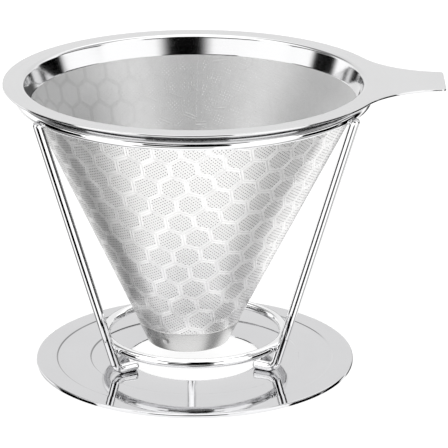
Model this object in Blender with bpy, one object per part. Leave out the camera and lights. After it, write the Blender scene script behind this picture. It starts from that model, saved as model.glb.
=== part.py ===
"""Pour over coffee dripper: a hex-perforated steel filter cone that lifts out of a wire stand.

Metres, +Z up. The origin is the centre of the bounding box at table height, and the handle points
along +X, so the filter's own axis stands a little to the -X side of the origin.
"""

import math

import bmesh
import bpy

MM = 0.001

# Clearance kept wherever two pieces meet.
GAP = 0.3 * MM

# Rim: flat flange, conical collar and handle, drawn from one sheet.
RIM_RADIUS = 62.5 * MM
RIM_TOP = 97.6 * MM
RIM_SHEET = 0.75 * MM
COLLAR_TOP_RADIUS = 55.75 * MM
COLLAR_FOOT_RADIUS = 53.5 * MM
COLLAR_FOOT = 91.1 * MM
COLLAR_FILLET = 1.5 * MM
HANDLE_REACH = 82.0 * MM
HANDLE_HALF_WIDTH = 10.4 * MM
HANDLE_FILLET = 30.0 * MM
HANDLE_CORNER = 1.6 * MM

# Filter cone: perforated outer sheet, woven inner mesh and the cup that closes the tip.
CONE_TOP_RADIUS = 53.85 * MM
CONE_TOP = 90.65 * MM
CONE_SLOPE = 0.4856
CONE_LEAN = 0.0259
FOIL = 0.4 * MM
CAP_TOP = 14.5 * MM
CAP_BOTTOM = 6.8 * MM
CAP_FILLET = 1.0 * MM

# Wire stand: two rings, three legs with inward feet.
WIRE_RADIUS = 1.6 * MM
UPPER_RING_RADIUS = 56.9 * MM
UPPER_RING_HEIGHT = 92.64 * MM
LOWER_RING_RADIUS = 30.0 * MM
LOWER_RING_HEIGHT = 9.5 * MM
LEG_TOP_RADIUS = 59.4 * MM
LEG_TOP = 92.8 * MM
LEG_SLOPE = 0.316
LEG_BEND = 3.6 * MM
FOOT_TIP_RADIUS = 22.9 * MM
STAND_TURN = math.radians(3.1)
FRONT_LEG_SPREAD = math.radians(117)

# Base plate: pressed sheet with a drip hole, a raised border and a turned-down edge.
PLATE_RADIUS = 53.35 * MM
PLATE_HOLE = 22.35 * MM
PLATE_SHEET = 0.6 * MM
PLATE_EDGE = 1.2 * MM
PLATE_MIDDLE = 0.95 * MM
PLATFORM_RADIUS = 34.9 * MM
BORDER_RADIUS = 46.2 * MM
STEP_WIDTH = 0.7 * MM

FOOT_HEIGHT = PLATE_SHEET + GAP + WIRE_RADIUS
AXIS_X = (RIM_RADIUS - HANDLE_REACH) / 2


def steel(name, colour, roughness):
    material = bpy.data.materials.new(name)
    material.use_nodes = True
    shader = material.node_tree.nodes["Principled BSDF"]
    shader.inputs["Base Color"].default_value = (*colour, 1)
    shader.inputs["Metallic"].default_value = 1
    shader.inputs["Roughness"].default_value = roughness
    material.diffuse_color = (*colour, 1)
    return material


def group(name, height=0.0):
    """An empty on the dripper's axis, the origin of everything that moves together."""
    empty = bpy.data.objects.new(name, None)
    empty.empty_display_size = 0.02
    empty.location = (AXIS_X, 0, height)
    bpy.context.scene.collection.objects.link(empty)
    return empty


def add(name, mesh, material, parent):
    """An object of this mesh whose points are measured from the axis at table height."""
    piece = bpy.data.objects.new(name, mesh)
    mesh.materials.append(material)
    mesh.shade_smooth()
    mesh.set_sharp_from_angle(angle=math.radians(32))
    piece.parent = parent
    piece.location = (0, 0, -parent.location.z)
    bpy.context.scene.collection.objects.link(piece)
    return piece


def arc(centre, radius, start, end, steps):
    """Points of an arc in a plane; angles in radians, both ends included."""
    turns = [start + (end - start) * i / steps for i in range(steps + 1)]
    return [(centre[0] + radius * math.cos(t), centre[1] + radius * math.sin(t)) for t in turns]


def rounded(corner, before, after, radius, steps):
    """The arc that rounds a corner between two straight runs, as points from one run to the other."""
    def unit(point):
        x, y = point[0] - corner[0], point[1] - corner[1]
        length = math.hypot(x, y)
        return x / length, y / length
    (ax, ay), (bx, by) = unit(before), unit(after)
    half = math.acos(max(-1, min(1, ax * bx + ay * by))) / 2
    mid_x, mid_y = ax + bx, ay + by
    reach = radius / math.sin(half) / math.hypot(mid_x, mid_y)
    centre = (corner[0] + mid_x * reach, corner[1] + mid_y * reach)
    run = radius / math.tan(half)
    start = math.atan2(corner[1] + ay * run - centre[1], corner[0] + ax * run - centre[0])
    end = math.atan2(corner[1] + by * run - centre[1], corner[0] + bx * run - centre[0])
    turn = (end - start + math.pi) % (2 * math.pi) - math.pi
    return arc(centre, radius, start, start + turn, steps)


def skin(name, loops, closed=False, floor=False, lid=False):
    """Quads between neighbouring loops of points; closed joins the last loop to the first, floor fills
    the first loop and lid the last."""
    shape = bmesh.new()
    rows = [[shape.verts.new(point) for point in loop] for loop in loops]
    pairs = list(zip(rows, rows[1:] + rows[:1])) if closed else list(zip(rows, rows[1:]))
    for one, other in pairs:
        for i in range(len(one)):
            j = (i + 1) % len(one)
            shape.faces.new((one[i], one[j], other[j], other[i]))
    if floor:
        shape.faces.new(rows[0][::-1])
    if lid:
        shape.faces.new(rows[-1])
    if closed or (floor and lid):
        bmesh.ops.recalc_face_normals(shape, faces=shape.faces)
    mesh = bpy.data.meshes.new(name)
    shape.to_mesh(mesh)
    shape.free()
    return mesh


def circles(section, segments, lean=0.0):
    """A circle of points at each (radius, height), their centres leaning along X from CONE_TOP."""
    turns = [2 * math.pi * i / segments for i in range(segments)]
    loops = []
    for radius, height in section:
        shift = lean * (height - CONE_TOP)
        loops.append([(radius * math.cos(t) + shift, radius * math.sin(t), height) for t in turns])
    return loops


def turned(name, section, segments, lean=0.0):
    """A solid ring with this closed section."""
    return skin(name, circles(section, segments, lean), closed=True)


def thicken(piece, thickness):
    """Gives a surface its sheet thickness, on the side that its normals point away from."""
    solidify = piece.modifiers.new("sheet", "SOLIDIFY")
    solidify.thickness = thickness
    solidify.offset = -1
    solidify.use_even_offset = True


def torus(name, radius, height, thickness, segments, sides):
    section = arc((radius, height), thickness, 0, 2 * math.pi * (1 - 1 / sides), sides - 1)
    return turned(name, section, segments)


def cutter(name, mesh, parent):
    """A hidden shape for Booleans."""
    tool = bpy.data.objects.new(name, mesh)
    tool.parent = parent
    tool.hide_render = True
    tool.display_type = "WIRE"
    bpy.context.scene.collection.objects.link(tool)
    return tool


def cut(piece, tool):
    boolean = piece.modifiers.new(tool.name, "BOOLEAN")
    boolean.operation = "DIFFERENCE"
    boolean.solver = "EXACT"
    boolean.object = tool


def rim_outline():
    """The flange's edge seen from above, anticlockwise: a circle run into the handle by two fillets."""
    fillet_y = HANDLE_HALF_WIDTH + HANDLE_FILLET
    fillet_x = math.sqrt((RIM_RADIUS + HANDLE_FILLET) ** 2 - fillet_y ** 2)
    meet = math.atan2(fillet_y, fillet_x)
    start = 2 * math.pi - math.acos((HANDLE_REACH - fillet_x) / HANDLE_FILLET)
    side = arc((fillet_x, fillet_y), HANDLE_FILLET, start, math.pi + meet, 12)
    tip = rounded(side[0], (HANDLE_REACH, 0), side[1], HANDLE_CORNER, 4)
    upper = tip + side[1:] + arc((0, 0), RIM_RADIUS, meet, math.pi, 42)[1:]
    lower = [(x, -y) for x, y in reversed(upper[:-1])]
    end = [(HANDLE_REACH, tip[0][1] * side_share) for side_share in (-0.5, 0, 0.5)]
    return upper + lower + end


def rim_section():
    """The sheet's upper side from the flat flange down the collar to its foot, as (radius, height)."""
    corner = (COLLAR_TOP_RADIUS, RIM_TOP)
    foot = (COLLAR_FOOT_RADIUS, COLLAR_FOOT)
    fillet = rounded(corner, (RIM_RADIUS, RIM_TOP), foot, COLLAR_FILLET, 5)
    return fillet + [foot]


def make_rim(parent, material):
    outline = rim_outline()
    loops = [[(x, y, RIM_TOP) for x, y in outline]]
    for radius, height in rim_section():
        scales = [radius / math.hypot(x, y) for x, y in outline]
        loops.append([(x * k, y * k, height) for (x, y), k in zip(outline, scales)])
    rim = add("rim_with_handle", skin("rim_with_handle", loops), material, parent)
    thicken(rim, RIM_SHEET)


def cone_radius(height):
    """Radius of the perforated cone's outer side."""
    return CONE_TOP_RADIUS + (height - CONE_TOP) * CONE_SLOPE


def conical_band(bottom, top, inset):
    """Section of a foil-thick conical wall whose outer side lies this far inside the cone's."""
    wall = FOIL * math.hypot(1, CONE_SLOPE)
    outer = [(cone_radius(z) - inset, z) for z in (bottom, top)]
    return outer + [(radius - wall, z) for radius, z in reversed(outer)]


def make_filter(parent, cone_steel, mesh_steel, cap_steel):
    cone = turned("perforated_cone", conical_band(CAP_TOP + GAP, CONE_TOP, 0), 88, CONE_LEAN)
    add("perforated_cone", cone, cone_steel, parent)
    inset = (FOIL + GAP) * math.hypot(1, CONE_SLOPE)
    liner_foot = CAP_BOTTOM + FOIL + GAP
    liner = turned("mesh_liner", conical_band(liner_foot, CONE_TOP, inset), 88, CONE_LEAN)
    add("mesh_liner", liner, mesh_steel, parent)
    corner = (cone_radius(CAP_BOTTOM), CAP_BOTTOM)
    lip = (cone_radius(CAP_TOP), CAP_TOP)
    side = [(corner[0] / 2, CAP_BOTTOM)] + rounded(corner, (0, CAP_BOTTOM), lip, CAP_FILLET, 4) + [lip]
    cap = skin("tip_cap", circles(side, 64, CONE_LEAN), floor=True)
    thicken(add("tip_cap", cap, cap_steel, parent), FOIL)


def plate_section():
    """Closed section of the pressed sheet: platform, middle ring, raised border, turned-down edge."""
    inner = PLATE_HOLE
    upper = [(inner, PLATE_SHEET - 0.15 * MM), (inner + 0.15 * MM, PLATE_SHEET)]
    upper += [(PLATFORM_RADIUS, PLATE_SHEET), (PLATFORM_RADIUS + STEP_WIDTH, PLATE_MIDDLE)]
    upper += [(BORDER_RADIUS, PLATE_MIDDLE), (BORDER_RADIUS + STEP_WIDTH, PLATE_EDGE)]
    round_edge = 0.45 * MM
    corner = (PLATE_RADIUS, PLATE_EDGE)
    upper += rounded(corner, (BORDER_RADIUS, PLATE_EDGE), (PLATE_RADIUS, 0), round_edge, 3)
    under = [(PLATE_RADIUS, 0), (PLATE_RADIUS - PLATE_SHEET, 0)]
    under += [(PLATE_RADIUS - PLATE_SHEET, PLATE_EDGE - PLATE_SHEET)]
    under += [(BORDER_RADIUS + STEP_WIDTH, PLATE_EDGE - PLATE_SHEET)]
    under += [(BORDER_RADIUS, PLATE_MIDDLE - PLATE_SHEET)]
    under += [(PLATFORM_RADIUS + STEP_WIDTH, PLATE_MIDDLE - PLATE_SHEET), (PLATFORM_RADIUS, 0), (inner, 0)]
    return upper + under


def leg_line(height):
    """Radius of a leg's centre line on its straight run."""
    return LEG_TOP_RADIUS + (height - LEG_TOP) * LEG_SLOPE


def swept(name, route, azimuth, sides):
    """A round wire along a route of (radius, height) points in the vertical plane at this azimuth."""
    loops = []
    for i, (radius, height) in enumerate(route):
        before, after = route[max(i - 1, 0)], route[min(i + 1, len(route) - 1)]
        length = math.hypot(after[0] - before[0], after[1] - before[1])
        across = ((after[1] - before[1]) / length, (before[0] - after[0]) / length)
        loop = []
        for side, out in arc((0, 0), WIRE_RADIUS, 0, 2 * math.pi * (1 - 1 / sides), sides - 1):
            reach = radius + across[0] * out
            x = reach * math.cos(azimuth) - side * math.sin(azimuth)
            y = reach * math.sin(azimuth) + side * math.cos(azimuth)
            loop.append((x, y, height + across[1] * out))
        loops.append(loop)
    return skin(name, loops, floor=True, lid=True)


def make_leg(name, azimuth, seats, parent, material):
    """A wire leg: straight run down from the upper ring, one bend, and a foot that points inwards."""
    corner = (leg_line(FOOT_HEIGHT), FOOT_HEIGHT)
    top = (LEG_TOP_RADIUS, LEG_TOP)
    tip = (FOOT_TIP_RADIUS, FOOT_HEIGHT)
    route = [top] + rounded(corner, top, tip, LEG_BEND, 8) + [tip]
    leg = add(name, swept(name, route, azimuth, 12), material, parent)
    for seat in seats:
        cut(leg, seat)


def make_stand(parent, wire_steel, plate_steel):
    add("base_plate", turned("base_plate", plate_section(), 96), plate_steel, parent)
    rings = (
        ("upper_ring", UPPER_RING_RADIUS, UPPER_RING_HEIGHT, 84),
        ("lower_ring", LOWER_RING_RADIUS, LOWER_RING_HEIGHT, 60),
    )
    seats = []
    for name, radius, height, segments in rings:
        add(name, torus(name, radius, height, WIRE_RADIUS, segments, 10), wire_steel, parent)
        seat = torus(f"{name}_seat", radius, height, WIRE_RADIUS + GAP, segments, 12)
        seats.append(cutter(f"{name}_seat", seat, parent))
    front = 1.5 * math.pi + STAND_TURN
    legs = (
        ("rear_leg", math.pi / 2 + STAND_TURN),
        ("front_left_leg", front - FRONT_LEG_SPREAD / 2),
        ("front_right_leg", front + FRONT_LEG_SPREAD / 2),
    )
    for name, azimuth in legs:
        make_leg(name, azimuth, seats, parent, wire_steel)


def main():
    for old in list(bpy.data.objects):
        bpy.data.objects.remove(old, do_unlink=True)
    sheet = steel("polished_sheet", (0.72, 0.72, 0.73), 0.12)
    cone = steel("perforated_sheet", (0.62, 0.61, 0.60), 0.34)
    woven = steel("woven_mesh", (0.50, 0.50, 0.50), 0.45)
    cup = steel("pressed_cup", (0.64, 0.63, 0.62), 0.28)
    wire = steel("bright_wire", (0.80, 0.80, 0.81), 0.05)
    plate = steel("base_sheet", (0.74, 0.74, 0.75), 0.08)
    lifting = group("filter_lift")
    make_rim(lifting, sheet)
    make_filter(lifting, cone, woven, cup)
    make_stand(group("stand"), wire, plate)


main()
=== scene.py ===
"""Looks of the pour over dripper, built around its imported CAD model.

Lengths are in metres in the frame's axes. The perforated cone is laid out as a flat sheet, with its
hexagonal fields of fine holes, and then rolled up, so the pattern runs round it as on the real one.
"""

import math

import bmesh
import bpy
import numpy as np
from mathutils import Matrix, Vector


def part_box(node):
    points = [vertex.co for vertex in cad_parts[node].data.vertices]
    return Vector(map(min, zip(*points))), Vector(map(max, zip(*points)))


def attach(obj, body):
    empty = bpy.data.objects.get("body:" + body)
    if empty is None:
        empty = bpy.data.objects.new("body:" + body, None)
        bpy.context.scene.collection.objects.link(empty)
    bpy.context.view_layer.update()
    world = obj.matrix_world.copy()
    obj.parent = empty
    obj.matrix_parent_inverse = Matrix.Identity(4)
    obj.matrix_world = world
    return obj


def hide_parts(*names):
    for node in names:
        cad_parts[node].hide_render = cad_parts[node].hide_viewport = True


MM = 0.001
TURN = 2 * math.pi
SHARP = math.radians(35)

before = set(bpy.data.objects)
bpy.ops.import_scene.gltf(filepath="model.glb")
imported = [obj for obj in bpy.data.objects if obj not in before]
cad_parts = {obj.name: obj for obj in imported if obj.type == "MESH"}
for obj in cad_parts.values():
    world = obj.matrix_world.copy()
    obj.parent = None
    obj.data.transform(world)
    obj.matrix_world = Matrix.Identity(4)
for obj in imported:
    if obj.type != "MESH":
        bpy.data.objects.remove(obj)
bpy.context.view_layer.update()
rim_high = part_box("rim_with_handle")[1]
ring_low, ring_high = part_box("upper_ring")
plate_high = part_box("base_plate")[1]

# The dripper's own axis, and the rim stamped from one sheet.
AXIS_X = (ring_low.x + ring_high.x) / 2
RIM_RADIUS = rim_high.y
RIM_TOP = rim_high.z
RIM_SHEET = 0.75 * MM
RIM_EDGE = 0.2 * MM
COLLAR_TOP_RADIUS = 55.75 * MM
COLLAR_FOOT_RADIUS = 53.5 * MM
COLLAR_FOOT = 91.1 * MM
COLLAR_FILLET = 1.5 * MM
HANDLE_REACH = rim_high.x - AXIS_X
HANDLE_HALF_WIDTH = 10.4 * MM
HANDLE_FILLET = 30.0 * MM
HANDLE_CORNER = 1.6 * MM

# Loops this close to the rim's edge, to its fillets and (as a share) to the collar's ends keep it flat.
EDGE_MARGIN = 0.12 * MM
FILLET_MARGIN = 0.25 * MM
RUN_END = 0.06

# The cone of the perforated sheet and the cup on its tip. The cone hangs a little out of true.
CONE_TOP_RADIUS = 53.85 * MM
CONE_TOP = 90.65 * MM
CONE_SLOPE = 0.4856
CONE_LEAN = 0.0259
CONE_SIN = CONE_SLOPE / math.hypot(1, CONE_SLOPE)
CONE_COS = 1 / math.hypot(1, CONE_SLOPE)
FOIL = 0.3 * MM
CUP_TOP = 14.5 * MM
CUP_BOTTOM = 6.8 * MM
CUP_FILLET = 1.3 * MM
CUP_SHEET = 0.4 * MM
CUP_PROUD = 0.3 * MM
CUP_DOME = 0.35 * MM
CUP_LIP = 0.3 * MM
CUP_MIDDLE = 0.02
CUP_ROWS = 24
CUP_SEGMENTS = 256
DIMPLES = [math.radians(azimuth) for azimuth in (-124, -4, 116)]
DIMPLE_HEIGHT = 10.9 * MM
DIMPLE_DEPTH = 0.28 * MM
DIMPLE_RADIUS = 0.75 * MM

# How far the perforated sheet reaches into the cup and behind the collar's foot, and the liner inside it.
SEAM_GAP = 0.04 * MM
SHEET_IN_CUP = 1.2 * MM
SHEET_PAST_FOOT = 0.35 * MM
LINER_SHEET = 0.15 * MM
LINER_GAP = 0.12 * MM
LINER_FOOT = CUP_BOTTOM + 0.8 * MM
LINER_TOP = COLLAR_FOOT - 0.25 * MM

# The pattern on the flat sheet: hexagonal fields in a triangular lattice, holes in a square one.
# Each field's outline rises and falls again over these distances from its border, in field pitches.
FIELD_PITCH = 8.84 * MM
FIELD_TURN = math.radians(8.57)
FIELD_ROWS = [(math.cos(t), math.sin(t)) for t in (FIELD_TURN + k * math.pi / 3 for k in range(3))]
FIELD_CENTRE = (-1.71 * MM, 114.11 * MM)
FIELD_REACH = 3.56 * MM
OUTLINE_OUTER = (0.02, 0.04)
OUTLINE_INNER = (0.07, 0.09)
HOLE_PITCH = 0.967 * MM
HOLE_TURN = math.radians(38.58)
HOLE_CENTRE = (1.115 * MM, 114.496 * MM)
HOLE_RADIUS = 0.18 * MM
SEAM_LAND = 1.6 * MM
WEAVE_PITCH = 0.9 * MM

# The wire stand and its plate. The feet are welded on, so they sink a little into the plate.
WIRE_RADIUS = 1.6 * MM
WIRE_SIDES = 32
WIRE_BEVEL = 0.45 * WIRE_RADIUS
RING_SEGMENTS = 320
UPPER_RING_RADIUS = 56.9 * MM
UPPER_RING_HEIGHT = 92.64 * MM
LOWER_RING_RADIUS = 30.0 * MM
LOWER_RING_HEIGHT = 9.5 * MM
LEG_TOP_RADIUS = 59.4 * MM
LEG_TOP = 92.8 * MM
LEG_SLOPE = 0.316
LEG_BEND = 3.6 * MM
LEG_END_RUN = 2.0 * MM
FOOT_TIP_RADIUS = 22.9 * MM
FOOT_END_RUN = 1.5 * MM
STAND_TURN = math.radians(3.1)
FRONT_LEG_SPREAD = math.radians(117)
PLATE_RADIUS = plate_high.y
PLATE_EDGE = plate_high.z
PLATE_HOLE = 22.35 * MM
PLATE_SHEET = 0.6 * MM
PLATE_MIDDLE = 0.95 * MM
PLATE_ROUND = 0.5 * MM
PLATE_WALL = 0.5 * MM
PLATE_MARGIN = 0.8 * MM
DRIP_ROUND = 0.2 * MM
PLATFORM_RADIUS = 34.9 * MM
BORDER_RADIUS = 46.2 * MM
STEP_WIDTH = 0.4 * MM
STEP_MARGIN = 0.2 * MM
FOOT_HEIGHT = PLATE_SHEET + 0.97 * WIRE_RADIUS

# The painted shade line on a pressed step, standing in for the shade in its crease: how dark, the distances
# from the step's middle over which it fades, and the same towards the handle, as the X part of the direction
# from the axis.
STEP_SHADE = 0.65
STEP_LINE = (0.1 * MM, 0.32 * MM)
STEP_FADE = (0.3, 0.8)

# The photographer's place, fitted to the circles of the rim and the plate, and the lens in millimetres.
CAMERA_PLACE = (0.01584, -0.89253, 0.35453)
CAMERA_TURN = (math.radians(71.025), 0, math.radians(1.009))
LENS = 227.9
FLOOR_HALF = 4.0

# The studio's light from all round. Each level takes over from the room's across its span of degrees:
# the back's in azimuth, the others in elevation.
ROOM_LIGHT = 1.5
BACK_LIGHT, BACK_SPAN = 1.0, (120, 150)
LOW_LIGHT, LOW_SPAN = 1.3, (-10, -30)
TOP_LIGHT, TOP_SPAN = 1.8, (30, 60)

# Dark flags as (azimuth, half width, lowest, highest, softness) in degrees, and the share of light they
# take. Azimuth runs from the camera's side, positive towards the handle.
FLAGS = (
    # In front, high, level and low.
    (8, 10, 18, 48, 12, 1.0),
    (-4, 42, 27, 38, 3, 1.0),
    (-3, 26, -14, 16, 3, 1.0),
    (-13, 27, -45, -32, 3, 1.0),
    # At both sides, level and below, with softer ones further back.
    (89, 15, -28, 8, 2, 1.0),
    (-89, 15, -28, 8, 2, 1.0),
    (119, 10, -28, 12, 7, 1.0),
    (-102, 8, -28, 12, 7, 1.0),
    # At both sides, a narrow band above those.
    (92, 20, 19, 29, 2, 1.0),
    (-92, 20, 19, 29, 2, 1.0),
    # At both sides, very soft, steeply low and steeply high.
    (-121, 14, -62, -38, 30, 0.83),
    (102, 14, -70, -42, 16, 0.7),
    (-126, 12, 34, 60, 18, 0.8),
    (102, 14, 42, 70, 16, 0.65),
    # Behind, low.
    (163, 17, -24, -5, 4, 0.9),
    (-174, 6, -24, -5, 4, 0.9),
)


# ---------------------------------------------------------------- mesh tools

def make(name, points, faces, material, body, replaced, uv=None):
    """A piece from points measured from the dripper's axis; uv holds one pair for each point."""
    mesh = bpy.data.meshes.new(name)
    mesh.from_pydata([tuple(p) for p in points], [], faces)
    if uv is not None:
        layer = mesh.uv_layers.new(name="sheet")
        corners = np.empty(len(mesh.loops), np.int32)
        mesh.loops.foreach_get("vertex_index", corners)
        layer.data.foreach_set("uv", np.asarray(uv, np.float32)[corners].ravel())
    mesh.materials.append(material)
    shape = bmesh.new()
    shape.from_mesh(mesh)
    bmesh.ops.recalc_face_normals(shape, faces=shape.faces)
    shape.to_mesh(mesh)
    shape.free()
    mesh.shade_smooth()
    mesh.set_sharp_from_angle(angle=SHARP)
    piece = bpy.data.objects.new(name, mesh)
    piece.location = (AXIS_X, 0, 0)
    bpy.context.scene.collection.objects.link(piece)
    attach(piece, body)
    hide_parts(*replaced)
    return piece


def loft(loops, wrap=False, floor=False, lid=False):
    """Points and quads of a skin over loops of equal length; wrap joins the last loop to the first."""
    count = len(loops[0])
    points = [tuple(p) for loop in loops for p in loop]
    faces = []
    for row in range(len(loops) if wrap else len(loops) - 1):
        here, there = row * count, (row + 1) % len(loops) * count
        for i in range(count):
            j = (i + 1) % count
            faces.append((here + i, here + j, there + j, there + i))
    if floor:
        faces.append(tuple(range(count))[::-1])
    if lid:
        faces.append(tuple(range(len(points) - count, len(points))))
    return points, faces


def direction(start, end):
    """Unit vector from one point of a plane to another."""
    length = math.hypot(end[0] - start[0], end[1] - start[1])
    return (end[0] - start[0]) / length, (end[1] - start[1]) / length


def moved(point, along, distance):
    return point[0] + along[0] * distance, point[1] + along[1] * distance


def between(start, end, share):
    """The point this share of the way from start to end."""
    return start[0] + share * (end[0] - start[0]), start[1] + share * (end[1] - start[1])


def arc(centre, radius, start, end, steps):
    """Points of an arc in a plane; angles in radians, both ends included."""
    turns = [start + (end - start) * i / steps for i in range(steps + 1)]
    return [(centre[0] + radius * math.cos(t), centre[1] + radius * math.sin(t)) for t in turns]


def rounded(corner, before, after, radius, steps):
    """The arc that rounds a corner between two straight runs, from one run to the other."""
    one, other = direction(corner, before), direction(corner, after)
    half = math.acos(max(-1, min(1, one[0] * other[0] + one[1] * other[1]))) / 2
    middle = (one[0] + other[0], one[1] + other[1])
    centre = moved(corner, middle, radius / math.sin(half) / math.hypot(*middle))
    run = radius / math.tan(half)
    first, last = moved(corner, one, run), moved(corner, other, run)
    start = math.atan2(first[1] - centre[1], first[0] - centre[0])
    end = math.atan2(last[1] - centre[1], last[0] - centre[0])
    turn = (end - start + math.pi) % TURN - math.pi
    return arc(centre, radius, start, start + turn, steps)


def circle(radius, height, segments, lean=0.0):
    """A level circle round the axis; its centre leans along X from the cone's top."""
    shift = lean * (height - CONE_TOP)
    turns = [TURN * i / segments for i in range(segments)]
    return [(radius * math.cos(t) + shift, radius * math.sin(t), height) for t in turns]


# ---------------------------------------------------------------- the lift-out filter

def rim_outline():
    """The flange's edge seen from above, anticlockwise from the handle's tip."""
    fillet_y = HANDLE_HALF_WIDTH + HANDLE_FILLET
    fillet_x = math.sqrt((RIM_RADIUS + HANDLE_FILLET) ** 2 - fillet_y ** 2)
    meet = math.atan2(fillet_y, fillet_x)
    start = TURN - math.acos((HANDLE_REACH - fillet_x) / HANDLE_FILLET)
    side = arc((fillet_x, fillet_y), HANDLE_FILLET, start, math.pi + meet, steps=30)
    tip = rounded(side[0], (HANDLE_REACH, 0), side[1], HANDLE_CORNER, steps=8)
    # The side's points next to the tip's rounded corner would cross it.
    side = [point for point in side if math.dist(point, side[0]) > 1.3 * HANDLE_CORNER]
    upper = tip + side + arc((0, 0), RIM_RADIUS, meet, math.pi, steps=130)[1:]
    lower = [(x, -y) for x, y in reversed(upper[:-1])]
    end = [(HANDLE_REACH, tip[0][1] * share / 6) for share in range(-5, 6)]
    return np.array(upper + lower + end)


def inset(outline, depth):
    """The outline moved inwards."""
    along = np.roll(outline, -1, 0) - np.roll(outline, 1, 0)
    along /= np.linalg.norm(along, axis=1)[:, None]
    return outline + depth * np.stack([-along[:, 1], along[:, 0]], 1)


def make_rim(material):
    """Flange, collar and handle as one sheet.

    The loops run from the underside round the flange's edge, over the top, down the collar's inner side,
    round its foot and back along its outer side.
    """
    outline = rim_outline()
    unit = outline / np.linalg.norm(outline, axis=1)[:, None]
    under = RIM_TOP - RIM_SHEET
    loops = []

    def flange(depth, height):
        """A loop that follows the outline from inside."""
        loops.append([(x, y, height) for x, y in inset(outline, depth)])

    def ring(radius, height):
        """A round loop whose points lie straight inside the outline's."""
        loops.append([(x * radius, y * radius, height) for x, y in unit])

    def run(start, end):
        """Loops close to both ends of a straight run, which keep its shading flat."""
        for share in (RUN_END, 1 - RUN_END):
            ring(*between(start, end, share))

    lower_edge, upper_edge = (RIM_EDGE, under + RIM_EDGE), (RIM_EDGE, RIM_TOP - RIM_EDGE)
    for point in arc(lower_edge, RIM_EDGE, 1.5 * math.pi, math.pi, steps=3):
        flange(*point)
    for point in arc(upper_edge, RIM_EDGE, math.pi, math.pi / 2, steps=3):
        flange(*point)
    flange(RIM_EDGE + EDGE_MARGIN, RIM_TOP)

    corner, foot = (COLLAR_TOP_RADIUS, RIM_TOP), (COLLAR_FOOT_RADIUS, COLLAR_FOOT)
    inner_fillet = rounded(corner, (RIM_RADIUS, RIM_TOP), foot, COLLAR_FILLET, steps=10)
    ring(inner_fillet[0][0] + FILLET_MARGIN, RIM_TOP)
    for point in inner_fillet:
        ring(*point)
    run(inner_fillet[-1], foot)

    down = direction(corner, foot)
    out = (-down[1], down[0])
    facing = math.atan2(-out[1], -out[0])
    half = RIM_SHEET / 2
    for point in arc(moved(foot, out, half), half, facing, facing + math.pi, steps=8):
        ring(*point)

    reach = RIM_SHEET / math.tan((math.pi - math.acos(-down[0])) / 2)
    outer_corner, outer_foot = (COLLAR_TOP_RADIUS + reach, under), moved(foot, out, RIM_SHEET)
    outer_fillet = rounded(outer_corner, outer_foot, (RIM_RADIUS, under), COLLAR_FILLET - RIM_SHEET, steps=8)
    run(outer_foot, outer_fillet[0])
    for point in outer_fillet:
        ring(*point)
    ring(outer_fillet[-1][0] + FILLET_MARGIN, under)
    flange(RIM_EDGE + EDGE_MARGIN, under)
    points, faces = loft(loops, wrap=True)
    return make("stamped_rim", points, faces, material, "filter", ["rim_with_handle"])


def cone_radius(height):
    """Radius of the cone's outer side."""
    return CONE_TOP_RADIUS + (height - CONE_TOP) * CONE_SLOPE


def cone_point(s, psi, depth):
    """The point at slant distance s and flat angle psi, this deep inside the cone's outer side."""
    azimuth = psi / CONE_SIN - math.pi / 2
    radius = s * CONE_SIN
    height = CONE_TOP + (radius - CONE_TOP_RADIUS) / CONE_SLOPE + depth * CONE_SIN
    radius -= depth * CONE_COS
    shift = CONE_LEAN * (height - CONE_TOP)
    return (radius * math.cos(azimuth) + shift, radius * math.sin(azimuth), height)


def slant(height):
    """Slant distance from the cone's apex to this height."""
    return cone_radius(height) / CONE_SIN


def clip(polygon, axis, limit, keep_above):
    """The part of a polygon of (s, psi) corners on one side of a limit."""
    sign = 1 if keep_above else -1
    kept = []
    for i, here in enumerate(polygon):
        there = polygon[(i + 1) % len(polygon)]
        a, b = sign * (here[axis] - limit), sign * (there[axis] - limit)
        if a >= 0:
            kept.append(here)
        if a * b < 0:
            kept.append(between(here, there, a / (a - b)))
    return kept


def in_field(x, y):
    """True where a hole at this point of the flat sheet lies inside a hexagonal field."""
    (ax, ay), (bx, by) = [(FIELD_PITCH * cos, FIELD_PITCH * sin) for cos, sin in FIELD_ROWS[:2]]
    dx, dy = x - FIELD_CENTRE[0], y - FIELD_CENTRE[1]
    area = ax * by - ay * bx
    i, j = math.floor((dx * by - dy * bx) / area), math.floor((ax * dy - ay * dx) / area)
    for m, n in ((i, j), (i, j + 1), (i + 1, j), (i + 1, j + 1)):
        ox, oy = dx - m * ax - n * bx, dy - m * ay - n * by
        if max(abs(ox * cos + oy * sin) for cos, sin in FIELD_ROWS) <= FIELD_REACH:
            return True
    return False


class Sheet:
    """Faces of the flat perforated sheet as corners (s, psi), shared between neighbours."""

    def __init__(self):
        self.points, self.index, self.faces = [], {}, []

    def corner(self, s, psi):
        key = (round(s / MM, 4), round(psi, 6))
        if key not in self.index:
            self.index[key] = len(self.points)
            self.points.append((s, psi))
        return self.index[key]

    def face(self, corners):
        """A face without the corners that fall together with the one before."""
        ids = [self.corner(s, psi) for s, psi in corners]
        ids = [v for i, v in enumerate(ids) if v != ids[i - 1]]
        if len(ids) > 2:
            self.faces.append(ids)

    def hole(self, corners, ring):
        """A four-cornered tile round an eight-sided hole, as two faces to each corner."""
        outer = [self.corner(*c) for c in corners]
        inner = [self.corner(*c) for c in ring]
        for k in range(4):
            here, there = inner[2 * k + 1], inner[(2 * k + 2) % 8]
            self.faces.append([outer[k], here, inner[2 * k]])
            self.faces.append([outer[k], outer[(k + 1) % 4], there, here])


def polar(x, y):
    """(s, psi) of a point of the flat sheet."""
    return math.hypot(x, y), math.atan2(x, y)


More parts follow.
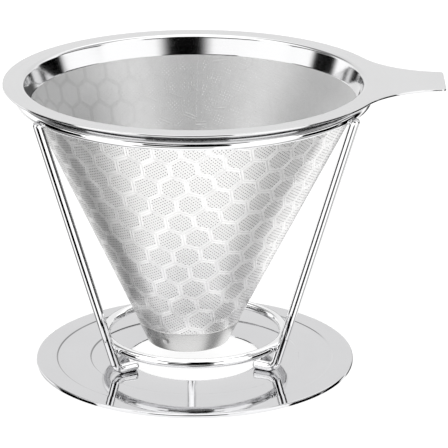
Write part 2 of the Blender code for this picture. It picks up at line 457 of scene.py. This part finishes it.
def perforate(s_low, s_high, psi_limit):
    """The flat sheet tile by tile: a tile in a field gets a hole, the others stay whole."""
    sheet = Sheet()
    cos, sin = math.cos(HOLE_TURN), math.sin(HOLE_TURN)
    span = math.ceil(2 * s_high / HOLE_PITCH)
    psi_reach = psi_limit + HOLE_PITCH / s_low
    limits = ((0, s_low, True), (0, s_high, False), (1, -psi_limit, True), (1, psi_limit, False))
    turns = [HOLE_TURN + math.radians(202.5 + 45 * k) for k in range(8)]

    def flat(i, j):
        x = HOLE_CENTRE[0] + HOLE_PITCH * (i * cos - j * sin)
        return x, HOLE_CENTRE[1] + HOLE_PITCH * (i * sin + j * cos)

    for i in range(-span, span):
        for j in range(-span, span):
            x, y = flat(i, j)
            s, psi = polar(x, y)
            if not s_low - HOLE_PITCH < s < s_high + HOLE_PITCH or abs(psi) > psi_reach:
                continue
            corners = [polar(*flat(i + a, j + b)) for a, b in ((-.5, -.5), (.5, -.5), (.5, .5), (-.5, .5))]
            if not all(s_low < c[0] < s_high and abs(c[1]) < psi_limit for c in corners):
                for limit in limits:
                    corners = clip(corners, *limit)
                sheet.face(corners)
            elif (psi_limit - abs(psi)) * s > SEAM_LAND and in_field(x, y):
                ring = [(x + HOLE_RADIUS * math.cos(t), y + HOLE_RADIUS * math.sin(t)) for t in turns]
                sheet.hole(corners, [polar(*point) for point in ring])
            else:
                sheet.face(corners)
    return sheet


def walls(faces, count):
    """Faces that join the edges used only once to the same edges of a second layer count points later."""
    used = dict.fromkeys((face[i], face[(i + 1) % len(face)]) for face in faces for i in range(len(face)))
    return [(b, a, a + count, b + count) for a, b in used if (b, a) not in used]


def field_uv(points):
    """Places on the flat sheet in field pitches from a field's centre, along and across the rows."""
    cos, sin = math.cos(FIELD_TURN), math.sin(FIELD_TURN)
    flat = np.array([(s * math.sin(psi), s * math.cos(psi)) for s, psi in points])
    flat = (flat - FIELD_CENTRE) / FIELD_PITCH
    return np.stack([flat[:, 0] * cos + flat[:, 1] * sin, flat[:, 1] * cos - flat[:, 0] * sin], 1)


def make_rolled(name, flat, faces, depth, thickness, material, replaced):
    """A sheet rolled up from its flat points (s, psi), with its outer side this deep in the cone."""
    count = len(flat)
    points = [cone_point(s, psi, level) for level in (depth, depth + thickness) for s, psi in flat]
    inner = [[v + count for v in reversed(face)] for face in faces]
    return make(name, points, faces + inner + walls(faces, count), material, "filter", replaced,
                field_uv(flat * 2))


def make_cone(material):
    psi_limit = math.pi * CONE_SIN - SEAM_GAP / slant(CONE_TOP)
    sheet = perforate(slant(CUP_TOP - SHEET_IN_CUP), slant(COLLAR_FOOT + SHEET_PAST_FOOT), psi_limit)
    return make_rolled("perforated_sheet", sheet.points, sheet.faces, 0, FOIL, material,
                       ["perforated_cone"])


def make_liner(material):
    """The woven cone just inside the sheet, tucked under the collar's foot and into the cup."""
    columns, rows = 240, 48
    s_low, s_high = slant(LINER_FOOT), slant(LINER_TOP)
    psi_limit = math.pi * CONE_SIN
    points = [(s_low + (s_high - s_low) * row / rows, psi_limit * (2 * column / columns - 1))
              for row in range(rows + 1) for column in range(columns + 1)]
    faces = []
    for row in range(rows):
        for column in range(columns):
            first = row * (columns + 1) + column
            faces.append((first, first + 1, first + columns + 2, first + columns + 1))
    return make_rolled("woven_liner", points, faces, FOIL + LINER_GAP, LINER_SHEET, material,
                       ["mesh_liner"])


def make_cup(material):
    """The pressed cup on the tip, with a rolled lip and its small spot-weld dimples."""
    corner = (cone_radius(CUP_BOTTOM) + CUP_PROUD, CUP_BOTTOM)
    lip = (cone_radius(CUP_TOP) + CUP_PROUD, CUP_TOP)
    middle = CUP_MIDDLE * corner[0]
    shares = (CUP_MIDDLE, 0.3, 0.6, 0.8)
    side = [(share * corner[0], CUP_BOTTOM + CUP_DOME * (1 - share ** 2)) for share in shares]
    side += rounded(corner, (0, CUP_BOTTOM), lip, CUP_FILLET, steps=10)
    wall_foot = side[-1]
    side += [between(wall_foot, lip, k / CUP_ROWS) for k in range(1, CUP_ROWS + 1)]
    outer_rows = len(side)
    side += arc((lip[0] - CUP_SHEET / 2, lip[1]), CUP_SHEET / 2, 0, math.pi, steps=6)[1:]
    side += [(lip[0] - CUP_SHEET, lip[1] - CUP_LIP), (corner[0] - CUP_SHEET, CUP_BOTTOM + CUP_FILLET),
             (corner[0] - CUP_FILLET, CUP_BOTTOM + CUP_SHEET), (middle, CUP_BOTTOM + CUP_SHEET + CUP_DOME)]
    loops = [circle(radius, height, CUP_SEGMENTS, CONE_LEAN) for radius, height in side]
    dimple_reach = cone_radius(DIMPLE_HEIGHT) + CUP_PROUD
    for loop in loops[:outer_rows]:
        for i, (x, y, z) in enumerate(loop):
            azimuth = math.atan2(y, x)
            apart = min(abs((azimuth - place + math.pi) % TURN - math.pi) for place in DIMPLES)
            far = math.hypot(apart * dimple_reach, z - DIMPLE_HEIGHT) / DIMPLE_RADIUS
            push = 1 - DIMPLE_DEPTH * math.exp(-far ** 2) / dimple_reach
            loop[i] = (x * push, y * push, z)
    points, faces = loft(loops, floor=True, lid=True)
    return make("pressed_cup", points, faces, material, "filter", ["tip_cap"])


# ---------------------------------------------------------------- the wire stand

def make_plate(material):
    """The pressed plate from its section: out of the hole, over two steps, down the edge and back."""
    def step(radius, low, high):
        """A pressed step as an S-curve from low to high, with the flat sheet's margin on each side."""
        shares = [k / 8 for k in range(9)]
        curve = [(radius + STEP_WIDTH * k, low + (high - low) * k * k * (3 - 2 * k)) for k in shares]
        return [(radius - STEP_MARGIN, low)] + curve + [(radius + STEP_WIDTH + STEP_MARGIN, high)]

    hole_edge = (PLATE_HOLE + DRIP_ROUND, PLATE_SHEET - DRIP_ROUND)
    upper = arc(hole_edge, DRIP_ROUND, math.pi, math.pi / 2, steps=4)
    upper += step(PLATFORM_RADIUS, PLATE_SHEET, PLATE_MIDDLE) + step(BORDER_RADIUS, PLATE_MIDDLE, PLATE_EDGE)
    upper.append((PLATE_RADIUS - PLATE_MARGIN, PLATE_EDGE))
    corner = (PLATE_RADIUS, PLATE_EDGE)
    upper += rounded(corner, (BORDER_RADIUS, PLATE_EDGE), (PLATE_RADIUS, 0), PLATE_ROUND, steps=8)
    wall = PLATE_RADIUS - PLATE_WALL
    under = [(PLATE_RADIUS, 0.05 * MM), (PLATE_RADIUS - 0.1 * MM, 0), (wall, 0)]
    under += [(wall, PLATE_EDGE - PLATE_SHEET), (BORDER_RADIUS + STEP_WIDTH, PLATE_EDGE - PLATE_SHEET)]
    under += [(BORDER_RADIUS, PLATE_MIDDLE - PLATE_SHEET)]
    under += [(PLATFORM_RADIUS + STEP_WIDTH, PLATE_MIDDLE - PLATE_SHEET), (PLATFORM_RADIUS, 0)]
    under += [(PLATE_HOLE + DRIP_ROUND, 0), (PLATE_HOLE, DRIP_ROUND)]
    points, faces = loft([circle(radius, height, 288) for radius, height in upper + under], wrap=True)
    return make("pressed_plate", points, faces, material, "stand", ["base_plate"])


def wire_section(centre, radius):
    return arc(centre, radius, 0, TURN * (1 - 1 / WIRE_SIDES), WIRE_SIDES - 1)


def make_ring(name, radius, height, node, material):
    section = wire_section((radius, height), WIRE_RADIUS)
    points, faces = loft([circle(r, z, RING_SEGMENTS) for r, z in section], wrap=True)
    return make(name, points, faces, material, "stand", [node])


def wire_loops(route, azimuth):
    """Sections along a route of (radius, height) points in one upright plane, with rounded ends."""
    cos, sin = math.cos(azimuth), math.sin(azimuth)
    turns = [math.pi / 2 * k / 6 for k in range(7)]

    def section(centre, along, radius):
        across = (along[1], -along[0])
        loop = []
        for side, out in wire_section((0, 0), radius):
            reach = centre[0] + across[0] * out
            loop.append((reach * cos - side * sin, reach * sin + side * cos, centre[1] + across[1] * out))
        return loop

    def end(tip, along, sign):
        """Sections from an end's flat face inwards; sign is 1 at the route's start and -1 at its end."""
        return [section(moved(tip, along, sign * WIRE_BEVEL * (1 - math.cos(t))), along,
                        WIRE_RADIUS - WIRE_BEVEL * (1 - math.sin(t))) for t in turns]

    middle = [section(route[i], direction(route[i - 1], route[i + 1]), WIRE_RADIUS)
              for i in range(1, len(route) - 1)]
    first, last = direction(route[0], route[1]), direction(route[-2], route[-1])
    return end(route[0], first, 1) + middle + end(route[-1], last, -1)[::-1]


def leg_line(height):
    """Radius of a leg's centre line on its straight run."""
    return LEG_TOP_RADIUS + (height - LEG_TOP) * LEG_SLOPE


def make_leg(name, azimuth, node, material):
    """A bent wire leg, kept straight close to both of its ends."""
    corner = (leg_line(FOOT_HEIGHT), FOOT_HEIGHT)
    top, tip = (LEG_TOP_RADIUS, LEG_TOP), (FOOT_TIP_RADIUS, FOOT_HEIGHT)
    below_top = (leg_line(LEG_TOP - LEG_END_RUN), LEG_TOP - LEG_END_RUN)
    before_tip = (FOOT_TIP_RADIUS + FOOT_END_RUN, FOOT_HEIGHT)
    route = [top, below_top] + rounded(corner, top, tip, LEG_BEND, steps=16) + [before_tip, tip]
    points, faces = loft(wire_loops(route, azimuth), floor=True, lid=True)
    return make(name, points, faces, material, "stand", [node])


# ---------------------------------------------------------------- materials

class Look:
    """A metal material whose nodes are added one by one."""

    def __init__(self, name, colour, roughness):
        self.material = bpy.data.materials.new(name)
        self.material.use_nodes = True
        self.tree = self.material.node_tree
        self.shader = self.tree.nodes["Principled BSDF"]
        self.shader.inputs["Base Color"].default_value = (*colour, 1)
        self.shader.inputs["Metallic"].default_value = 1
        self.shader.inputs["Roughness"].default_value = roughness
        coordinates = self.add("ShaderNodeTexCoord")
        self.place, self.normal = coordinates.outputs["Object"], coordinates.outputs["Normal"]

    def add(self, kind, values=None, **settings):
        """A node with these settings, whose inputs take a number, a vector or another node's output."""
        made = self.tree.nodes.new(kind)
        for key, value in settings.items():
            setattr(made, key, value)
        for key, value in (values or {}).items():
            if isinstance(value, bpy.types.NodeSocket):
                self.tree.links.new(value, made.inputs[key])
            else:
                made.inputs[key].default_value = value
        return made

    def maths(self, operation, *values):
        made = self.add("ShaderNodeMath", dict(enumerate(values)), operation=operation)
        return made.outputs[0]

    def vector(self, operation, *values):
        made = self.add("ShaderNodeVectorMath", dict(enumerate(values)), operation=operation)
        return made.outputs["Value" if operation in ("DOT_PRODUCT", "LENGTH") else "Vector"]

    def part(self, vector, axis):
        """One coordinate of a vector."""
        return self.add("ShaderNodeSeparateXYZ", {"Vector": vector}).outputs[axis]

    def noise(self, scale, detail=2.0, place=None):
        values = {"Vector": place or self.place, "Scale": scale, "Detail": detail}
        return self.add("ShaderNodeTexNoise", values).outputs["Fac"]

    def mixed(self, one, share, other):
        """Two values in one, the first with this share."""
        return self.maths("MULTIPLY_ADD", one, share, self.maths("MULTIPLY", other, 1 - share))

    def spread(self, value, low, high, start=0.0, end=1.0, smooth=False):
        """value's span start to end taken onto low to high."""
        values = {"Value": value, "From Min": start, "From Max": end, "To Min": low, "To Max": high}
        kind = "SMOOTHSTEP" if smooth else "LINEAR"
        return self.add("ShaderNodeMapRange", values, interpolation_type=kind).outputs["Result"]

    def tint(self, factor, dark, light):
        """Base colour between two greys."""
        mix = self.add("ShaderNodeMix", {"Factor": factor}, data_type="RGBA")
        mix.inputs[6].default_value = (*dark, 1)
        mix.inputs[7].default_value = (*light, 1)
        self.tree.links.new(mix.outputs[2], self.shader.inputs["Base Color"])

    def rough(self, value):
        self.tree.links.new(value, self.shader.inputs["Roughness"])

    def bump(self, height, distance, strength=1.0):
        values = {"Height": height, "Distance": distance, "Strength": strength}
        made = self.add("ShaderNodeBump", values)
        self.tree.links.new(made.outputs["Normal"], self.shader.inputs["Normal"])

    def sheet_place(self):
        """The place on the flat sheet, in field pitches from a field's centre."""
        return self.add("ShaderNodeUVMap", uv_map="sheet").outputs["UV"]

    def from_axis(self):
        """The level vector from the dripper's axis to the shaded point."""
        return self.vector("MULTIPLY", self.place, (1, 1, 0))

    def outward(self):
        """Unit vector straight away from the dripper's axis."""
        return self.vector("NORMALIZE", self.from_axis())

    def radius(self):
        return self.vector("LENGTH", self.from_axis())

    def round_the_axis(self):
        """(radius, height) of the shaded point, so that noise read there runs in circles."""
        values = {"X": self.radius(), "Y": self.part(self.place, "Z")}
        return self.add("ShaderNodeCombineXYZ", values).outputs["Vector"]


def polished(name, colour, roughness, lines, steps=()):
    """Polished stainless sheet or wire: fine circular polishing lines and a slow cloud of roughness.

    Pressed steps at the radii given get a thin dark line of painted shade, which fades out on the handle's
    side.
    """
    look = Look(name, colour, roughness)
    circles = look.noise(lines, 3.0, look.round_the_axis())
    cloud = look.noise(60.0, 3.0)
    tone = look.spread(look.mixed(circles, 0.35, cloud), 0.9, 1.0)
    for step in steps:
        # Painted shade: a thin dark line along each step's crease, fading out towards the handle.
        apart = look.maths("ABSOLUTE", look.maths("SUBTRACT", look.radius(), step))
        line = look.spread(apart, STEP_SHADE, 0.0, *STEP_LINE, smooth=True)
        away = look.spread(look.part(look.outward(), "X"), 1.0, 0.0, *STEP_FADE, smooth=True)
        tone = look.maths("MULTIPLY", tone, look.maths("SUBTRACT", 1.0, look.maths("MULTIPLY", line, away)))
    look.tint(tone, (0.0, 0.0, 0.0), colour)
    look.rough(look.spread(look.mixed(circles, 0.5, cloud), roughness * 0.6, roughness * 1.4, 0.3, 0.7))
    look.bump(circles, 0.002 * MM)
    return look.material


def hex_border(look):
    """Distance from the border between two hexagonal fields, in field pitches, 0.5 in a field's centre."""
    place = look.sheet_place()
    cell = (1.0, math.sqrt(3), 1.0)
    half = (0.5, math.sqrt(3) / 2, 0.0)
    reaches = []
    # Fields sit at the corners and in the middle of a cell, so the place is wrapped onto both.
    for start in (place, look.vector("ADD", place, half)):
        values = {0: look.vector("ADD", start, half), 1: cell, 2: (0, 0, 0)}
        wrapped = look.add("ShaderNodeVectorMath", values, operation="WRAP").outputs["Vector"]
        offset = look.vector("ABSOLUTE", look.vector("SUBTRACT", wrapped, half))
        slanted = look.vector("DOT_PRODUCT", offset, (0.5, math.sqrt(3) / 2, 0))
        reaches.append(look.maths("MAXIMUM", slanted, look.part(offset, "X")))
    return look.maths("SUBTRACT", 0.5, look.maths("MINIMUM", *reaches))


def perforated_look():
    """Satin sheet: raised field outlines with a painted highlight, and painted shade on the walls of the
    holes.
    """
    look = Look("perforated_sheet", (0.78, 0.775, 0.77), 0.3)
    border = hex_border(look)
    field = look.spread(border, 0, 1, *OUTLINE_INNER, smooth=True)
    outline = look.maths("SUBTRACT", look.spread(border, 0, 1, *OUTLINE_OUTER, smooth=True), field)
    grain = look.noise(2600.0, 2.0)
    cloud = look.noise(90.0, 3.0)
    # A hole's wall faces along the sheet, and the sheet's two sides face along its own normal.
    sheet_normal = look.vector("MULTIPLY", look.outward(), (CONE_COS, CONE_COS, 0))
    sheet_normal = look.vector("ADD", sheet_normal, (0, 0, -CONE_SIN))
    facing = look.maths("ABSOLUTE", look.vector("DOT_PRODUCT", look.normal, sheet_normal))
    # Painted shade: the colour goes dark on the walls of the holes, which face along the sheet.
    painted_wall_shade = look.spread(facing, 0, 1, 0.3, 0.7, smooth=True)
    # Painted highlight: the raised outline's colour is lighter; its relief itself comes from the bump below.
    tone = look.maths("MULTIPLY_ADD", outline, 0.11, look.spread(grain, 0.85, 0.91))
    look.tint(look.maths("MULTIPLY", painted_wall_shade, tone), (0.03, 0.03, 0.03), (0.96, 0.955, 0.95))
    rough = look.maths("MULTIPLY_ADD", field, 0.06, look.spread(grain, 0.2, 0.32))
    look.rough(look.maths("MULTIPLY_ADD", cloud, 0.06, rough))
    look.bump(look.maths("MULTIPLY_ADD", grain, 0.06, outline), 0.06 * MM, 0.8)
    return look.material


def woven_look():
    """Fine twilled wire cloth: warp and weft as rounded wires, with gaps that let some light through.

    Its outward side, seen through the holes, is painted dark: painted shade for the gap behind the sheet.
    The borders between the sheet's fields are painted on it as bands of painted shadow, stronger on the side
    away from the handle.
    """
    look = Look("woven_mesh", (0.6, 0.6, 0.6), 0.4)
    sheet_place = look.sheet_place()
    waves = []
    for axis in ("X", "Y"):
        phase = look.maths("MULTIPLY", look.part(sheet_place, axis), TURN * FIELD_PITCH / WEAVE_PITCH)
        waves.append(look.maths("ABSOLUTE", look.maths("SINE", phase)))
    wires = look.maths("MAXIMUM", *waves)
    grain = look.noise(1800.0, 2.0)
    # Painted shade: the side that faces outward, towards the sheet, is painted dark.
    inner = look.spread(look.vector("DOT_PRODUCT", look.normal, look.outward()), 0.1, 1.0, 0.1, -0.1)
    # Painted shadow: darker bands along the borders between the fields, stronger on the side away from the
    # handle.
    border = look.spread(hex_border(look), 1.0, 0.0, 0.06, 0.1, smooth=True)
    depth = look.spread(look.part(look.place, "X"), 0.12, 0.02, -35 * MM, -10 * MM, smooth=True)
    through = look.maths("SUBTRACT", 1.0, look.maths("MULTIPLY", border, depth))
    weave_and_painted_shadow = look.maths("MULTIPLY", look.maths("MULTIPLY", wires, look.spread(grain, 0.75, 1.0)), through)
    look.tint(look.maths("MULTIPLY", inner, weave_and_painted_shadow), (0.1, 0.1, 0.1), (0.8, 0.8, 0.8))
    look.rough(look.spread(grain, 0.45, 0.6))
    look.bump(wires, 0.06 * MM, 0.7)
    gaps = look.spread(wires, 0.0, 1.0, 0.55, 0.7, smooth=True)
    look.tree.links.new(gaps, look.shader.inputs["Alpha"])
    return look.material


def cup_look():
    """Satin cup with turning lines round it."""
    look = Look("pressed_cup", (0.72, 0.715, 0.71), 0.26)
    circles = look.noise(2200.0, 2.0, look.round_the_axis())
    blend = look.mixed(circles, 0.5, look.noise(140.0, 3.0))
    look.tint(blend, (0.5, 0.497, 0.494), (0.63, 0.627, 0.623))
    look.rough(look.spread(blend, 0.2, 0.34))
    look.bump(circles, 0.006 * MM)
    return look.material


# ---------------------------------------------------------------- studio

def make_world():
    """A white room with brighter light overhead and soft dark flags that give the steel its contrast."""
    world = bpy.data.worlds.new("studio")
    bpy.context.scene.world = world
    world.use_nodes = True
    tree = world.node_tree
    background = tree.nodes["Background"]
    coordinates = tree.nodes.new("ShaderNodeTexCoord")
    split = tree.nodes.new("ShaderNodeSeparateXYZ")
    tree.links.new(coordinates.outputs["Generated"], split.inputs[0])

    def maths(operation, *values):
        made = tree.nodes.new("ShaderNodeMath")
        made.operation = operation
        for i, value in enumerate(values):
            if isinstance(value, bpy.types.NodeSocket):
                tree.links.new(value, made.inputs[i])
            else:
                made.inputs[i].default_value = value
        return made.outputs[0]

    def fade(angle, start, end):
        """0 to 1 while an angle goes from start to end, both in degrees."""
        made = tree.nodes.new("ShaderNodeMapRange")
        made.interpolation_type = "SMOOTHSTEP"
        tree.links.new(angle, made.inputs["Value"])
        made.inputs["From Min"].default_value = math.radians(start)
        made.inputs["From Max"].default_value = math.radians(end)
        return made.outputs["Result"]

    x, y, z = (split.outputs[name] for name in "XYZ")
    azimuth = maths("ARCTAN2", x, maths("MULTIPLY", y, -1))
    elevation = maths("ARCSINE", z)
    shade = 0.0
    for centre, half, low, high, soft, depth in FLAGS:
        apart = maths("ABSOLUTE", maths("SUBTRACT", azimuth, math.radians(centre)))
        beside = fade(apart, half + soft, half)
        above, below = fade(elevation, low - soft, low), fade(elevation, high + soft, high)
        flag = maths("MULTIPLY", maths("MULTIPLY", beside, depth), maths("MULTIPLY", above, below))
        shade = maths("MAXIMUM", shade, flag)
    behind = fade(maths("ABSOLUTE", azimuth), *BACK_SPAN)
    level = maths("MULTIPLY_ADD", behind, BACK_LIGHT - ROOM_LIGHT, ROOM_LIGHT)
    for light, span in ((LOW_LIGHT, LOW_SPAN), (TOP_LIGHT, TOP_SPAN)):
        change = maths("MULTIPLY", fade(elevation, *span), maths("SUBTRACT", light, level))
        level = maths("ADD", level, change)
    strength = maths("MULTIPLY", level, maths("SUBTRACT", 1.0, shade))
    tree.links.new(strength, background.inputs["Strength"])
    background.inputs["Color"].default_value = (1, 1, 1, 1)


def make_floor():
    """A pale floor, light enough to read as white paper, just below the plate so that they don't meet."""
    corners = [(x * FLOOR_HALF, y * FLOOR_HALF, 0) for x, y in ((-1, -1), (1, -1), (1, 1), (-1, 1))]
    mesh = bpy.data.meshes.new("floor")
    mesh.from_pydata(corners, [], [(0, 1, 2, 3)])
    floor = bpy.data.objects.new("floor", mesh)
    floor.location.z = -0.02 * MM
    bpy.context.scene.collection.objects.link(floor)
    material = bpy.data.materials.new("paper")
    material.use_nodes = True
    shader = material.node_tree.nodes["Principled BSDF"]
    shader.inputs["Base Color"].default_value = (0.25, 0.25, 0.25, 1)
    shader.inputs["Roughness"].default_value = 0.9
    shader.inputs["Specular IOR Level"].default_value = 0
    shader.inputs["Emission Color"].default_value = (1, 1, 1, 1)
    shader.inputs["Emission Strength"].default_value = 0.85
    mesh.materials.append(material)
    floor.visible_glossy = False


def make_camera():
    """A long lens about 19 degrees above the horizon."""
    lens = bpy.data.cameras.new("camera")
    lens.sensor_width = 36
    lens.lens = LENS
    lens.clip_start, lens.clip_end = 0.05, 20
    camera = bpy.data.objects.new("camera", lens)
    camera.location = CAMERA_PLACE
    camera.rotation_euler = CAMERA_TURN
    bpy.context.scene.collection.objects.link(camera)
    bpy.context.scene.camera = camera


make_camera()
bpy.context.scene.view_settings.view_transform = "Standard"
make_world()
make_floor()

sheet_steel = polished("polished_sheet", (0.7, 0.7, 0.705), 0.1, 1500.0)
wire_steel = polished("bright_wire", (0.86, 0.86, 0.865), 0.05, 1200.0)
# The base sheet gets lines of painted shade at its two pressed steps.
plate_steel = polished("base_sheet", (0.67, 0.67, 0.68), 0.05, 1500.0,
                       (PLATFORM_RADIUS + STEP_WIDTH / 2, BORDER_RADIUS + STEP_WIDTH / 2))

make_rim(sheet_steel)
for piece in (make_cone(perforated_look()), make_liner(woven_look()), make_cup(cup_look())):
    piece.visible_glossy = False
make_plate(plate_steel)
make_ring("upper_wire_ring", UPPER_RING_RADIUS, UPPER_RING_HEIGHT, "upper_ring", wire_steel)
make_ring("lower_wire_ring", LOWER_RING_RADIUS, LOWER_RING_HEIGHT, "lower_ring", wire_steel)
front = 1.5 * math.pi + STAND_TURN
make_leg("rear_wire_leg", math.pi / 2 + STAND_TURN, "rear_leg", wire_steel)
make_leg("front_left_wire_leg", front - FRONT_LEG_SPREAD / 2, "front_left_leg", wire_steel)
make_leg("front_right_wire_leg", front + FRONT_LEG_SPREAD / 2, "front_right_leg", wire_steel)
